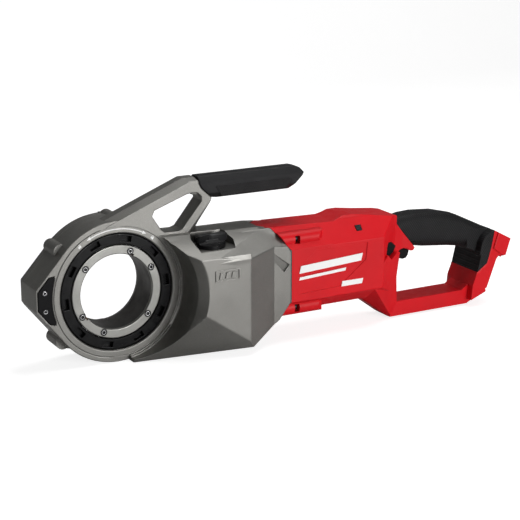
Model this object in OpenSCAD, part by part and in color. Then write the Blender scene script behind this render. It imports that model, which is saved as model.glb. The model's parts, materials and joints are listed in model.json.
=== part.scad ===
// Hand-held cordless pipe threading machine, without its battery pack.
// Origin: on the die-head bore axis, at the front face of the drive plate.
// +X runs from the bore to the rear handle, +Y runs into the bore, +Z is up.

/* [Die head end] */
// Radius of the bore that the die head slides into
bore_r = 48.5; // [46:0.5:49]
// Outer radius of the bright drive plate
plate_r = 60; // [59:0.5:60.5]
// Outer radius of the lock ring
lock_r = 75.2; // [74:0.2:75.2]
// Outer radius of the bezel around the lock ring
bezel_r = 84; // [82:0.5:84.5]
// Outer radius of the round part of the gear case
head_r = 91; // [90:0.5:92]
// Distance from the bore axis to the flat of the nose
nose_x = 106.5; // [104:0.5:108]

/* [Gear case] */
// Depth of the side bulge in front of the drive plate
bulge_y = 65; // [63:0.5:66]
// Back face of the rear cover
back_y = 55; // [53:0.5:56]
// Parting plane between the gear case and its rear cover
seam_y = 40; // [39:0.5:41]
// Rear end of the side flange where the motor housing starts
flange_x = 224; // [222:1:226]

/* [Gear train] */
// Module of the drum, idler and spur pinion
spur_m = 2.5;
// Teeth on the drum
drum_n = 62;
// Teeth on the idler
idler_n = 13;
// Teeth on the spur pinion
pinion_n = 12;
// Teeth on the bevel wheel
wheel_n = 28;
// Teeth on the bevel pinion
bevel_n = 12;
// Module of the planetary stage
planet_m = 1.25;
// Teeth on the sun
sun_n = 12;
// Teeth on each planet
planet_n = 21;
// Teeth in the fixed ring gear
ring_n = 54;

/* [Handles] */
// Height of the middle of the top grip
grip_z = 121; // [119:0.5:123]
// Half width of the rear D handle's lower bar
bar_w = 20; // [18:0.5:22]
// Half width of the battery foot
foot_w = 31; // [29:0.5:33]

/* [Motor] */
// Half width of the motor housing
house_w = 46; // [45:0.5:48]
// Half height of the motor housing's flat side
side_z = 35; // [33:0.5:36]
// Outer radius of the stator
stator_r = 37; // [34:0.5:37]
// Outer radius of the rotor
rotor_r = 20; // [18:0.5:21]

/* [Hidden] */
$fn = 96;
eps = 0.01;
run_gap = 0.05;      // radial clearance of a shaft in its bearing
far = 400;           // longer than anything it cuts

// --- placement helpers ---------------------------------------------------
// 2D (x, z) outline extruded from y0 to y1
module yprism(y0, y1) {
  translate([0, y1, 0]) rotate([90, 0, 0]) linear_extrude(y1 - y0) children();
}
// 2D (y, z) outline extruded from x0 to x1
module xprism(x0, x1) {
  translate([x0, 0, 0]) rotate([90, 0, 90]) linear_extrude(x1 - x0) children();
}
// 2D (x, y) outline extruded from z0 to z1
module zprism(z0, z1) {
  translate([0, 0, z0]) linear_extrude(z1 - z0) children();
}
module ycyl(r, y0, y1, x = 0, z = 0) {
  translate([x, y1, z]) rotate([90, 0, 0]) cylinder(r = r, h = y1 - y0);
}
module xcyl(r, x0, x1, y = 0, z = 0) {
  translate([x0, y, z]) rotate([0, 90, 0]) cylinder(r = r, h = x1 - x0);
}
module zcyl(r, z0, z1, x = 0, y = 0) {
  translate([x, y, z0]) cylinder(r = r, h = z1 - z0);
}
// ring about the Y axis
module yring(r_out, r_in, y0, y1, x = 0, z = 0) {
  difference() {
    ycyl(r_out, y0, y1, x, z);
    ycyl(r_in, y0 - 1, y1 + 1, x, z);
  }
}
// ring about the X axis
module xring(r_out, r_in, x0, x1, y = 0, z = 0) {
  difference() {
    xcyl(r_out, x0, x1, y, z);
    xcyl(r_in, x0 - 1, x1 + 1, y, z);
  }
}
// everything beyond a plane, for slanted cuts: a point on it and its outward normal
module beyond(at, n) {
  translate(at) rotate([0, acos(n[2] / norm(n)), atan2(n[1], n[0])])
    translate([-far / 2, -far / 2, 0]) cube(far);
}
// outward normal of the plane through three points, seen clockwise from outside
function facet(a, b, c) = cross(c - a, b - a);
module both_sides() {
  children();
  mirror([0, 1, 0]) children();
}
// point on a circle in the x, z plane
function on_circle(r, a) = [r * cos(a), r * sin(a)];
// where a line from an outside point touches a circle about the origin
function tangent(p, r, side) =
  let (d = norm(p), a = atan2(p[1], p[0]), b = acos(r / d)) on_circle(r, a + side * b);

// --- gears ---------------------------------------------------------------
pressure = 25;       // pressure angle of every involute gear
function inv_deg(a) = tan(a) * 180 / PI - a;
// half angle of a tooth at radius r
function tooth_half(n, m, r, thin) =
  let (rp = n * m / 2, rb = rp * cos(pressure))
  90 / n + inv_deg(pressure) - inv_deg(acos(min(1, rb / max(r, rb)))) - thin / rp * 180 / PI;
// involute gear outline; thin is taken off each flank, add and ded are in modules
module gear_outline(n, m, thin = 0.15, add = 0.9, ded = 1.2) {
  rp = n * m / 2;
  r_root = rp - ded * m;
  r_tip = rp + add * m;
  r_foot = max(r_root + 0.1 * m, rp * cos(pressure));
  radii = [r_root, r_foot, (r_foot + r_tip) / 2, r_tip];
  steps = len(radii);
  pts = [for (i = [0 : n - 1]) each concat(
    [for (k = [0 : steps - 1])
      on_circle(radii[k], i * 360 / n - tooth_half(n, m, radii[k], thin))],
    [for (k = [steps - 1 : -1 : 0])
      on_circle(radii[k], i * 360 / n + tooth_half(n, m, radii[k], thin))])];
  polygon(pts);
}
// straight bevel gear on +Z with its apex at the origin; teeth have an even height
module bevel_blank(n, rp, axial, face, add, ded) {
  length = norm([rp, axial]);
  cone = atan2(rp, axial);
  inner = length - face;
  function at(along, up) = [along * sin(cone) + up * cos(cone), along * cos(cone) - up * sin(cone)];
  rotate_extrude() polygon([
    [0.1, at(inner, -ded)[1]], at(inner, -ded), at(length, -ded),
    [at(length, -ded)[0], at(length, -ded)[1] + 3], [0.1, at(length, -ded)[1] + 3]]);
  for (i = [0 : n - 1]) rotate([0, 0, i * 360 / n]) rotate([0, cone, 0]) {
    // in this turned frame z runs along the cone and x points out of it
    bevel_tooth(inner, length, -ded - 0.3, 0.1, 0.205 * 2 * PI / n * sin(cone));
    bevel_tooth(inner, length, 0, add, 0.15 * 2 * PI / n * sin(cone));
  }
}
// one tooth slice: a wedge that widens away from the apex
module bevel_tooth(l0, l1, h0, h1, half) {
  translate([h0, 0, 0]) rotate([0, 90, 0]) linear_extrude(h1 - h0)
    polygon([[-l0, -half * l0], [-l1, -half * l1], [-l1, half * l1], [-l0, half * l0]]);
}

idler_x = spur_m * (drum_n + idler_n) / 2;
pinion_x = idler_x + spur_m * (idler_n + pinion_n) / 2;
wheel_r = 28;        // pitch radius of the bevel wheel
bevel_r = 12;        // pitch radius of the bevel pinion
bevel_face = 9;
gear_y0 = 21.5;      // front of the spur gears
gear_y1 = 35.5;      // back of the spur gears
planet_c = planet_m * (sun_n + planet_n) / 2;
planet_x0 = 180;
planet_x1 = 194;

// --- ball bearing about the Y axis ---------------------------------------
module ball_bearing(r_in, r_out, width, balls) {
  mid = (r_in + r_out) / 2;
  wall = (r_out - r_in) * 0.3;
  ball_r = (r_out - r_in) * 0.24;
  difference() {
    cylinder(r = r_out, h = width);
    translate([0, 0, -1]) cylinder(r = r_out - wall, h = width + 2);
    translate([0, 0, width / 2]) rotate_extrude() translate([mid, 0]) circle(r = ball_r + 0.1, $fn = 32);
  }
  difference() {
    cylinder(r = r_in + wall, h = width);
    translate([0, 0, -1]) cylinder(r = r_in, h = width + 2);
    translate([0, 0, width / 2]) rotate_extrude() translate([mid, 0]) circle(r = ball_r + 0.1, $fn = 32);
  }
  for (i = [0 : balls - 1]) rotate([0, 0, i * 360 / balls]) translate([mid, 0, width / 2])
    sphere(r = ball_r, $fn = 32);
}
module y_bearing(r_in, r_out, y0, width, balls, x = 0) {
  translate([x, y0 + width, 0]) rotate([90, 0, 0]) ball_bearing(r_in, r_out, width, balls);
}
module x_bearing(r_in, r_out, x0, width, balls) {
  translate([x0, 0, 0]) rotate([0, 90, 0]) ball_bearing(r_in, r_out, width, balls);
}

// --- screws --------------------------------------------------------------
// socket-head screw along +Z: underside of the head at the origin, shank downwards
module socket_screw(r, length, head_r, head_h) {
  difference() {
    cylinder(r = head_r, h = head_h, $fn = 32);
    translate([0, 0, head_h * 0.4]) cylinder(r = head_r * 0.55, h = head_h, $fn = 6);
  }
  translate([0, 0, -length]) cylinder(r = r, h = length + eps, $fn = 32);
}

// --- gear case -----------------------------------------------------------
face_y = -3;         // front face of the round part
nose_top = [-nose_x, 17];
nose_low = [-nose_x, -12];
under_x = 160;       // where the underside meets the rear slope
under_z = -80;
flange_top = [205, 62];
flange_low = [207, -57];
// outline of the round part with its pointed nose
module head_outline() {
  circle(r = head_r, $fn = 180);
  polygon([nose_top, nose_low, tangent(nose_low, head_r - 0.3, 1), [0, 0],
    tangent(nose_top, head_r - 0.3, -1)]);
}
detent_angle = 225;
detent_y = 6;
boss_at = [[-67, 57], [-68, -60], [8, 86]];
// side view of the gear body behind the round part
module body_side() {
  polygon([[14, -90.9], [under_x, under_z], flange_low, [flange_x, -side_z - 1],
    [flange_x, side_z - 1], flange_top, [190, 64], [60, 66], [20, 60], [14, 0]]);
}
// section through the gear body
module body_section() {
  polygon([[-bulge_y, 44], [-22, 61], [-12, 66], [20, 66], [46, 42], [back_y, 30], [back_y, -100],
    [-bulge_y, -100]]);
}
// top view of the gear body
module body_plan() {
  polygon([[0, -bulge_y], [155, -bulge_y], [199, -house_w], [flange_x, -house_w + 1],
    [flange_x, house_w - 1], [199, house_w], [160, back_y], [0, back_y]]);
}
// cuts away the lower front corner along an inclined facet
module facet_cut() {
  a = [94, -bulge_y, -30];
  beyond(a, facet(a, [155, -bulge_y, -71], [160, -63, -79]));
}
// cuts the upper edge between the bulge and the flange along a flat facet
module shoulder_cut() {
  a = [154, -bulge_y, 37];
  beyond(a, facet(a, [161, -36.6, 55.2], [198.4, -46.2, 42.6]));
}
// raised styling line along the top of the flat side
module side_ridge() {
  ridge = [155, -bulge_y - 1, 38];
  fade = [106, -bulge_y, 37];
  difference() {
    translate([106, -bulge_y - 1.2, 28]) cube([49, 4, 16]);
    beyond(fade, facet(fade, ridge, [155, -bulge_y, 28.5]));
    beyond(fade, facet(fade, [155, -bulge_y + 0.6, 44], ridge));
  }
}
// slanted diamond facet on the flange
module flange_diamond() {
  intersection() {
    yprism(-50, -40) polygon([[199, 32], [221, 16], [214, 7], [199, 23]]);
    beyond([199, -house_w, 32], [0.06, -1, -0.12]);
  }
}
// the hollow in front of the head that clears the die head
module scallop() {
  for (step = [0 : 2]) ycyl(bezel_r + 0.6 + step * 1.5, -30, face_y - step * 3);
  translate([0, -25, 0]) rotate([90, 0, 0]) cylinder(r1 = 87.6, r2 = 88.5, h = 25);
  translate([0, -50 + eps, 0]) rotate([90, 0, 0]) cylinder(r1 = 88.5, r2 = 97, h = 15.5);
  ycyl(97.3, -far, -bulge_y - 0.2);
  yprism(-far, face_y) polygon([[-200, -200], [0, -200], [0, 200], [-200, 200]]);
}
notch_x = 192;  // front end of the housing's tongue
notch_z = 52;
module gear_body() {
  difference() {
    union() {
      difference() {
        intersection() {
          yprism(-bulge_y, back_y) body_side();
          xprism(0, flange_x) body_section();
          zprism(-100, 100) body_plan();
        }
        facet_cut();
        shoulder_cut();
      }
      // flange with the section of the motor housing
      intersection() {
        yprism(-house_w, house_w) body_side();
        xprism(165, flange_x) house_section();
        zprism(-100, 100) body_plan();
      }
      side_ridge();
    }
    scallop();
    flange_diamond();
    top_notch();
  }
}
// bracket that carries the top grip, cast with the gear case
bracket_y0 = -4;
bracket_y1 = 22;
grip_mid = 9;        // middle plane of the bracket and the top grip
grip_half = 15;
module bracket_outline() {
  difference() {
    polygon([[-12, 80], [-12, 90.2], [96, 133], [113, 133], [114, 126], [117, 120], [132, 106], [119, 76],
      [117, 58], [62, 58], [40, 60]]);
    polygon([[49, 91], [60, 74], [65, 68.5], [84, 68], [90, 70], [117, 104], [117, 109], [112, 114],
      [104, 115], [97, 114], [52, 98]]);
  }
}
// bracket with its front edges cut back to the side walls
module bracket() {
  y0 = bracket_y0;
  y1 = bracket_y0 + 12;
  difference() {
    yprism(y0, bracket_y1) bracket_outline();
    beyond([8, y1, 98], facet([8, y1, 98], [101, y0, 129.7], [10, y0, 93.5]));
    beyond([96, y1, 133], facet([96, y1, 133], [114, y0, 129.7], [101, y0, 129.7]));
    beyond([100.3, y0, 66.5], facet([100.3, y0, 66.5], [132.5, y0, 105], [119, y1, 76]));
  }
}
module bracket_tang() {
  yprism(grip_mid - 9, grip_mid + 9)
    polygon([[105, 112], [120, 110], [236, 111], [240, 122], [236, 128], [105, 128]]);
}
knob_at = [117, -28];
knob_r = 19;
knob_floor = 50;
module knob_recess() {
  zprism(knob_floor, 100) polygon([[95, -60], [138, -60], [147, -32], [141, -7], [99, -7], [92, -24]]);
}
wall_y = 12;         // web between the lock ring pocket and the drum bearing
module gear_cavity() {
  // lock ring pocket, drum passage and bearing seat
  ycyl(lock_r + 0.3, -10, 11);
  ycyl(plate_r + 1, 0, wall_y + 1);
  ycyl(68, wall_y, gear_y0 - 0.5);
  ycyl(drum_n * spur_m / 2 + 5, gear_y0 - 1, seam_y + 1);
  ycyl(21.5, gear_y0 - 1, seam_y + 1, idler_x);
  ycyl(20.5, gear_y0 - 1, seam_y + 1, pinion_x);
  // bevel gear room, shaft bearings and planetary room
  translate([95, -50, -37]) cube([63, 67, 78]);
  ycyl(11, 10, gear_y0, pinion_x);
  ycyl(14, -62, -50, pinion_x);
  xcyl(16, 150, 172);
  xcyl(40, 171, flange_x + 1);
  // pin of the idler and stem of the selector
  ycyl(5, 10, gear_y0, idler_x);
  zcyl(4 + run_gap, 30, knob_floor + 1, knob_at[0], knob_at[1]);
}
flange_screw_at = [[-31, 46], [31, 46], [-31, -46], [31, -46]];
// flat-faced webs that carry the two outer bosses
module boss_webs() {
  polygon([[-73.5, 62.5], [-50, 60], [-50, 40], [-70, 43.5], [-71.3, 52]]);
  polygon([[-77, -56], [-72, -66.5], [-57, -70], [-50, -50], [-70, -45]]);
}
rear_screw_at = concat(boss_at, [[84, 30], [60, -66], [150, 30], [150, -60]]);
module gearcase_front() {
  color("dimgray") difference() {
    union() {
      yprism(face_y, seam_y) head_outline();
      for (p = boss_at) ycyl(9, 14, seam_y, p[0], p[1]);
      yprism(15, seam_y) boss_webs();
      intersection() {
        gear_body();
        translate([-200, -100, -100]) cube([far + 100, seam_y + 100, 300]);
      }
      difference() {
        bracket();
        ycyl(bezel_r + 0.4, bracket_y0 - 1, 1);
      }
      bracket_tang();
    }
    gear_cavity();
    knob_recess();
    ycyl(bezel_r, -5, 1);
    // nose plate recess
    yprism(-4, -1) nose_plate_outline(0.25);
    for (p = rear_screw_at) ycyl(2.6, 20, seam_y + 1, p[0], p[1]);
    for (z = [12.5, -11]) ycyl(1.9, -6, 12, -96, z);
    for (p = flange_screw_at) xcyl(2.6, 190, flange_x + 1, p[0], p[1]);
    // radial hole of the lock ring detent
    rotate([0, detent_angle, 0]) zcyl(3.8, 74, 84, 0, detent_y);
  }
}
module gearcase_rear_cover() {
  color("dimgray") difference() {
    union() {
      difference() {
        yprism(seam_y, back_y) head_outline();
        // softened back rim
        difference() {
          ycyl(140, back_y - 5, back_y + 1);
          translate([0, back_y - 5 - eps, 0]) rotate([-90, 0, 0]) cylinder(r1 = 112, r2 = 104, h = 7);
        }
        // fine step around the rear rim
        difference() {
          ycyl(140, back_y - 9, back_y + 1);
          yprism(back_y - 10, back_y + 1) scale(1 - 1 / head_r) head_outline();
          yprism(back_y - 10, back_y + 1) square([400, 400]);
          yprism(back_y - 10, back_y + 1) translate([0, -400]) square([400, 400]);
        }
      }
      for (p = boss_at) ycyl(9, seam_y, back_y - 6, p[0], p[1]);
      yprism(seam_y, back_y - 8) boss_webs();
      intersection() {
        gear_body();
        translate([-200, seam_y, -100]) cube([far + 100, 60, 300]);
      }
    }
    ycyl(68, seam_y - 1, 47);
    ycyl(57, 46, 49);
    ycyl(bore_r + 2, 45, back_y + 1);
    ycyl(13, seam_y - 1, 48, pinion_x);
    ycyl(5, seam_y - 1, 50, idler_x);
    xcyl(40.2, 171, flange_x + 1);
    for (p = rear_screw_at) {
      ycyl(2.8, seam_y - 1, back_y + 1, p[0], p[1]);
      ycyl(5, back_y - 9, back_y + 1, p[0], p[1]);
    }
  }
}
module rear_cover_screws() {
  color("black") for (p = rear_screw_at)
    translate([p[0], back_y - 9, p[1]]) rotate([-90, 0, 0]) socket_screw(2.5, 22, 4.6, 4.5);
}
module bezel_ring() {
  color("darkgray") rotate([90, 0, 0]) rotate_extrude() polygon([
    [lock_r + 0.3, -1], [bezel_r, -1], [bezel_r, 3], [lock_r + 1.5, 3], [lock_r + 0.3, 1.8]]);
}
// --- lock ring and die drive ----------------------------------------------
pockets = 10;
lock_turn = 35;      // turn of the lock ring between locked and open
module lock_ring() {
  color("black") difference() {
    translate([0, 10.5, 0]) rotate([90, 0, 0]) rotate_extrude() polygon([
      [plate_r + 0.7, 0], [lock_r, 0], [lock_r, 10], [lock_r - 1.5, 11.5], [plate_r + 2, 11.5],
      [plate_r + 0.7, 10.5]]);
    for (i = [0 : pockets - 1]) rotate([0, -6 - i * 360 / pockets, 0])
      translate([64.5, -2, -7]) cube([7, 7.5, 14]);
    // shallow seats that the detent snaps into
    for (a = [detent_angle, detent_angle - lock_turn]) rotate([0, a, 0])
      zcyl(2.2, 74, 80, 0, detent_y);
  }
}
module lock_detent_plunger() {
  color("silver") rotate([0, detent_angle, 0]) translate([0, detent_y, 0]) {
    zcyl(3.8, 76.2, 83.5);
    translate([0, 0, 75.6 + 1.6]) sphere(r = 1.6, $fn = 32);
  }
}
module drive_drum() {
  color("#3a3a3c") difference() {
    union() {
      ycyl(58 - run_gap, 4, 46);
      yprism(gear_y0, gear_y1) gear_outline(drum_n, spur_m);
    }
    ycyl(bore_r, 3, 47);
    for (a = key_angles) rotate([0, -a, 0])
      translate([bore_r - 2, 3, -key_w / 2]) cube([key_out - bore_r + 2, 20, key_w]);
    for (a = plate_screw_angles) rotate([0, -a, 0]) ycyl(2, -1, 16, screw_ring);
  }
}
key_angles = [66, 213];
plate_screw_angles = [29, 69, 140, 209, 249, 320];
screw_ring = 53.6;   // radius of the ring of plate screws
key_out = 51.4;      // outer radius of the drive keys
key_w = 7;
module drive_plate() {
  color("silver") difference() {
    translate([0, 4, 0]) rotate([90, 0, 0]) rotate_extrude() polygon([
      [bore_r, 0], [plate_r, 0], [plate_r, 4.2], [plate_r - 0.8, 5], [bore_r + 0.8, 5],
      [bore_r, 4.2]]);
    for (a = key_angles) rotate([0, -a, 0])
      translate([bore_r - 2, -2, -key_w / 2]) cube([key_out - bore_r + 2, 8, key_w]);
    for (a = plate_screw_angles) rotate([0, -a, 0]) {
      ycyl(2.1, -2, 5, screw_ring);
      ycyl(4.6, -2, 1.4, screw_ring);
    }
  }
}
module drive_plate_screws() {
  color("black") for (a = plate_screw_angles) rotate([0, -a, 0])
    translate([screw_ring, 1.4, 0]) rotate([90, 0, 0]) socket_screw(1.95, 12, 4.5, 2.6);
}
module drive_keys() {
  color("#8a6a45") for (a = key_angles) rotate([0, -a, 0])
    translate([bore_r + 0.3, 4.2, 0.1 - key_w / 2]) cube([key_out - bore_r - 0.3, 18.6, key_w - 0.2]);
}
module drum_bearing_front() {
  color("lightgray") y_bearing(58, 68, wall_y + 0.2, 8, 30);
}
module drum_bearing_rear() {
  color("lightgray") y_bearing(58, 68, 37.5, 8, 30);
}
module idler_gear() {
  color("#6b6b70") difference() {
    translate([idler_x, 0, 0]) yprism(gear_y0, gear_y1) gear_outline(idler_n, spur_m);
    ycyl(5 + run_gap, gear_y0 - 1, gear_y1 + 1, idler_x);
  }
}
module idler_pin() {
  color("silver") ycyl(5, 10.5, 49.5, idler_x);
}
module pinion_shaft() {
  color("#6b6b70") {
    ycyl(6 - run_gap, -60, 47, pinion_x);
    translate([pinion_x, 0, 0]) yprism(gear_y0, gear_y1) rotate([0, 0, 180 / pinion_n])
      gear_outline(pinion_n, spur_m);
  }
}
module bevel_wheel() {
  color("#77777c") translate([pinion_x, 0, 0]) difference() {
    rotate([90, 0, 0]) bevel_blank(wheel_n, wheel_r, bevel_r, bevel_face, 1.4, 1.8);
    ycyl(6, -40, 0);
  }
}
module pinion_bearing_front() {
  color("lightgray") y_bearing(6, 14, -60, 9, 8, pinion_x);
}
module pinion_bearing_rear() {
  color("lightgray") y_bearing(6, 13, 37.5, 9, 8, pinion_x);
}
bevel_x = pinion_x + wheel_r;
module bevel_pinion() {
  color("#77777c") {
    translate([pinion_x, 0, 0]) rotate([-90, 0, 0]) rotate([0, 90, 0])
      rotate([0, 0, 180 / bevel_n]) bevel_blank(bevel_n, bevel_r, wheel_r, bevel_face, 1.4, 1.8);
    xcyl(6 - run_gap, bevel_x - 2, 173);
  }
}
module bevel_pinion_bearing() {
  color("lightgray") x_bearing(6, 16, 160.5, 10, 8);
}
// --- planetary stage -----------------------------------------------------
planet_angles = [0, 120, 240];
module planet_carrier() {
  color("#6b6b70") difference() {
    xcyl(30, 173, 178.5);
    for (a = planet_angles) xcyl(3, 172, 180, planet_c * cos(a), planet_c * sin(a));
  }
}
module planet_pins() {
  color("silver") for (a = planet_angles)
    xcyl(3, 173, 195, planet_c * cos(a), planet_c * sin(a));
}
module planet(a) {
  color("#85858a") translate([0, planet_c * cos(a), planet_c * sin(a)]) difference() {
    xprism(planet_x0, planet_x1) rotate([0, 0, a]) gear_outline(planet_n, planet_m);
    xcyl(3 + run_gap, planet_x0 - 1, planet_x1 + 1);
  }
}
module planet_a() { planet(planet_angles[0]); }
module planet_b() { planet(planet_angles[1]); }
module planet_c_gear() { planet(planet_angles[2]); }
module ring_gear() {
  color("#55555a") difference() {
    xcyl(40, 179, 196);
    xprism(178, 197) gear_outline(ring_n, planet_m, thin = -0.15, add = 1.2, ded = 0.9);
  }
}
// --- motor ---------------------------------------------------------------
stator_x0 = 222;
stator_x1 = 286;
fan_x0 = 292;
fan_x1 = 302;
motor_end_x = 314;
slots = 12;
module motor_plate() {
  color("lightgray") difference() {
    xcyl(39.8, 197, 206);
    xcyl(13, 198.5, 207);
    xcyl(9, 196, 199);
  }
}
module motor_shaft() {
  color("silver") {
    xcyl(5 - run_gap, 194, motor_end_x);
    xprism(planet_x0, planet_x1 + 1) gear_outline(sun_n, planet_m);
  }
}
module rotor_core() {
  color("#707078") xring(rotor_r - 3.2, 5, stator_x0 + 2, stator_x1 - 2);
}
module rotor_magnets() {
  color("#3c3c40") for (i = [0 : 7]) rotate([i * 45, 0, 0]) intersection() {
    xring(rotor_r, rotor_r - 3.2, stator_x0 + 4, stator_x1 - 4);
    translate([stator_x0, -6.5, 0]) cube([80, 13, 40]);
  }
}
module stator_core() {
  color("#8d8d92") difference() {
    xcyl(stator_r, stator_x0, stator_x1);
    xcyl(rotor_r + 0.6, stator_x0 - 1, stator_x1 + 1);
    for (i = [0 : slots - 1]) rotate([i * 360 / slots, 0, 0]) {
      translate([stator_x0 - 1, -4.2, rotor_r + 3.5]) cube([70, 8.4, 10]);
      translate([stator_x0 - 1, -1.2, rotor_r - 1]) cube([70, 2.4, 6]);
    }
  }
}
module stator_windings() {
  color("#b5651d") for (i = [0 : slots - 1]) rotate([i * 360 / slots, 0, 0])
    translate([stator_x0 - 3.5, -3.9, rotor_r + 3.9]) cube([stator_x1 - stator_x0 + 7, 7.8, 9.2]);
}
module motor_fan() {
  color("#2b2b2b") {
    difference() {
      xcyl(33, fan_x0, fan_x0 + 2);
      xcyl(5, fan_x0 - 1, fan_x1);
    }
    xring(9, 5, fan_x0 + 1, fan_x1);
    for (i = [0 : 10]) rotate([i * 360 / 11, 0, 0])
      translate([fan_x0 + 1, -0.9, 8]) cube([fan_x1 - fan_x0 - 1, 1.8, 24]);
  }
}
module motor_bearing_front() {
  color("lightgray") x_bearing(5, 13, 198.6, 7, 8);
}
module motor_bearing_rear() {
  color("lightgray") x_bearing(5, 11, 305, 7, 8);
}
module sensor_board() {
  color("darkgreen") difference() {
    xcyl(34, 216.4, 218);
    xcyl(12, 215, 219);
  }
}
// --- red motor housing and D handle ---------------------------------------
house_x1 = 404;      // rear end of the motor housing over the trigger
// section of the motor housing, in y and z
module house_section(s = 0) {
  w = house_w - s;
  polygon([[-w, side_z - 0.4 * s], [-22 + 0.4 * s, 61.5 - s], [22 - 0.4 * s, 61.5 - s],
    [w, side_z - 0.4 * s], [w, -side_z + 0.4 * s], [22 - 0.4 * s, -54 + s],
    [-22 + 0.4 * s, -54 + s], [-w, -side_z + 0.4 * s]]);
}
// top view: the housing narrows towards the handle
module house_plan(s = 0) {
  polygon([[190, -house_w + s], [366, -house_w + s], [386, -31 + s], [398, -22 + s],
    [house_x1 + 8, -20 + s], [house_x1 + 8, 20 - s], [398, 22 - s], [386, 31 - s],
    [366, house_w - s], [190, house_w - s]]);
}
// side view, with the front edge that follows the gear case flange
module house_side() {
  polygon([flange_low, [flange_x, -side_z - 1], [flange_x, side_z - 1], [notch_x, notch_z],
    [notch_x, 62], [216, 62], [300, 59.5], [316, 65], [330, 65], [400, 55.5], [408, 49], [410, 37],
    [434, 6], [430, 1.5], [425.5, 2], [421.5, 5], [414.5, 7.2], [409.5, 6.4], [404, 2.6],
    [401, -4], [398, -28], [406, -67], [404, -90], [394, -88], [346, -53],
    [262, -54], [243, -64], [221, -65]]);
}
gasket_t = 0.8;
module d_outer() {
  polygon([[398, 30], [420, 51], [440, 52], [474, 49], [508, 41], [542, 28], foot_front, foot_tip,
    [579.5, -21], [573, -22.3], [556, -70], [524, -87.5], [394, -88], [380, -60], [385, 0]]);
}
module d_opening() {
  polygon([[406, -67], [514, -67], [525, -60], [532, -43], [538, -17], [531, -11], [510, -4],
    [490, 0], [452, 3], [433, 5.4], [430, 1.5], [425.5, 2], [421.5, 5], [414.5, 7.2], [409.5, 6.4],
    [404, 2.6], [401, -4], [398, -28]]);
}
// rear foot that takes the battery pack
foot_front = [558.5, 17.3];
foot_tip = [587, 2.1];
module foot_side() {
  polygon([[523.5, -81], [556, -68.3], [573, -22.3], [579.5, -21], foot_tip, foot_front,
    [545.5, 10.5], [539, 1], [535, -19], [527.5, -39.5]]);
}
// raised corner of the foot above the battery latch
module foot_corner() {
  polygon([[565.5, 13.5], foot_tip, [579.5, -21], [575, -21.8], [558, -9]]);
}
// leg between the motor housing and the lower bar, tapered on both sides
module front_leg() {
  top = [351, -house_w, -33];
  toe = [396, -bar_w, -86];
  heel = [406, -bar_w, -67];
  under = [352, -30, -46];
  difference() {
    yprism(-house_w, house_w) polygon([[346, -53], [346, -30], [372, 8], [398, 8], [398, -28],
      [406, -67], [406, -88], [394, -88]]);
    both_sides() {
      beyond(top, facet(top, heel, toe));
      beyond(top, facet(top, toe, under));
    }
  }
}
module red_outer() {
  difference() {
    union() {
      intersection() {
        xprism(190, house_x1 + 8) {
          house_section();
          // upper and lower swell where the housing meets the handle
          polygon([[-22, 0], [-22, 75], [22, 75], [22, 0]]);
        }
        zprism(-110, 110) house_plan();
        yprism(-60, 60) house_side();
      }
      for (p = flange_screw_at) flange_column(p);
      intersection() {
        yprism(-bar_w, bar_w) difference() {
          d_outer();
          d_opening();
        }
        translate([394, -60, -100]) cube([300, 120, 200]);
      }
      front_leg();
      yprism(-foot_w, foot_w) foot_side();
      yprism(-foot_w - 2.5, foot_w + 2.5) foot_corner();
    }
    d_opening_cut();
    // everything in front of the flange belongs to the gear case
    in_front_of_flange(gasket_t);
  }
}
// everything up to the stepped joint with the gear case, moved back by dx
module in_front_of_flange(dx) {
  translate([dx, 0, 0]) difference() {
    yprism(-60, 60) polygon([[150, -100], [flange_low[0], -100], flange_low,
      [flange_x, -side_z - 1], [flange_x, side_z - 1], flange_top, [flange_top[0], 100], [150, 100]]);
    top_notch();
  }
}
// notch in the gear case's top edge, filled by a tongue of the motor housing
module top_notch() {
  zprism(notch_z, 110) polygon([[notch_x, -10], [flange_top[0], -22], [230, -22], [230, 22],
    [flange_top[0], 22], [notch_x, 10]]);
}
module d_opening_cut() {
  yprism(-60, 60) d_opening();
}
// rounded column that hides a flange screw
module flange_column(p) {
  intersection() {
    xcyl(10, 205, 276, p[0], p[1]);
    zprism(-100, 100) polygon([[200, -52], [252, -52], [276, -36], [276, 36], [252, 52], [200, 52]]);
  }
}
module stator_ribs() {
  for (x = [238, 268]) xring(60, stator_r, x, x + 3);
  xring(60, 11, 304, 311);
}
module house_hollow() {
  difference() {
    motor_room();
    stator_ribs();
  }
  handle_rooms();
}
module motor_room() {
  intersection() {
    xprism(190, 396) house_section(4);
    zprism(-110, 110) house_plan(4);
    yprism(-60, 60) polygon([[190, -50], [346, -49], [380, -50], [392, -28], [398, -6], [404, 4],
      [404, 34], [392, 48], [300, 55], [190, 57]]);
  }
}
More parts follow.
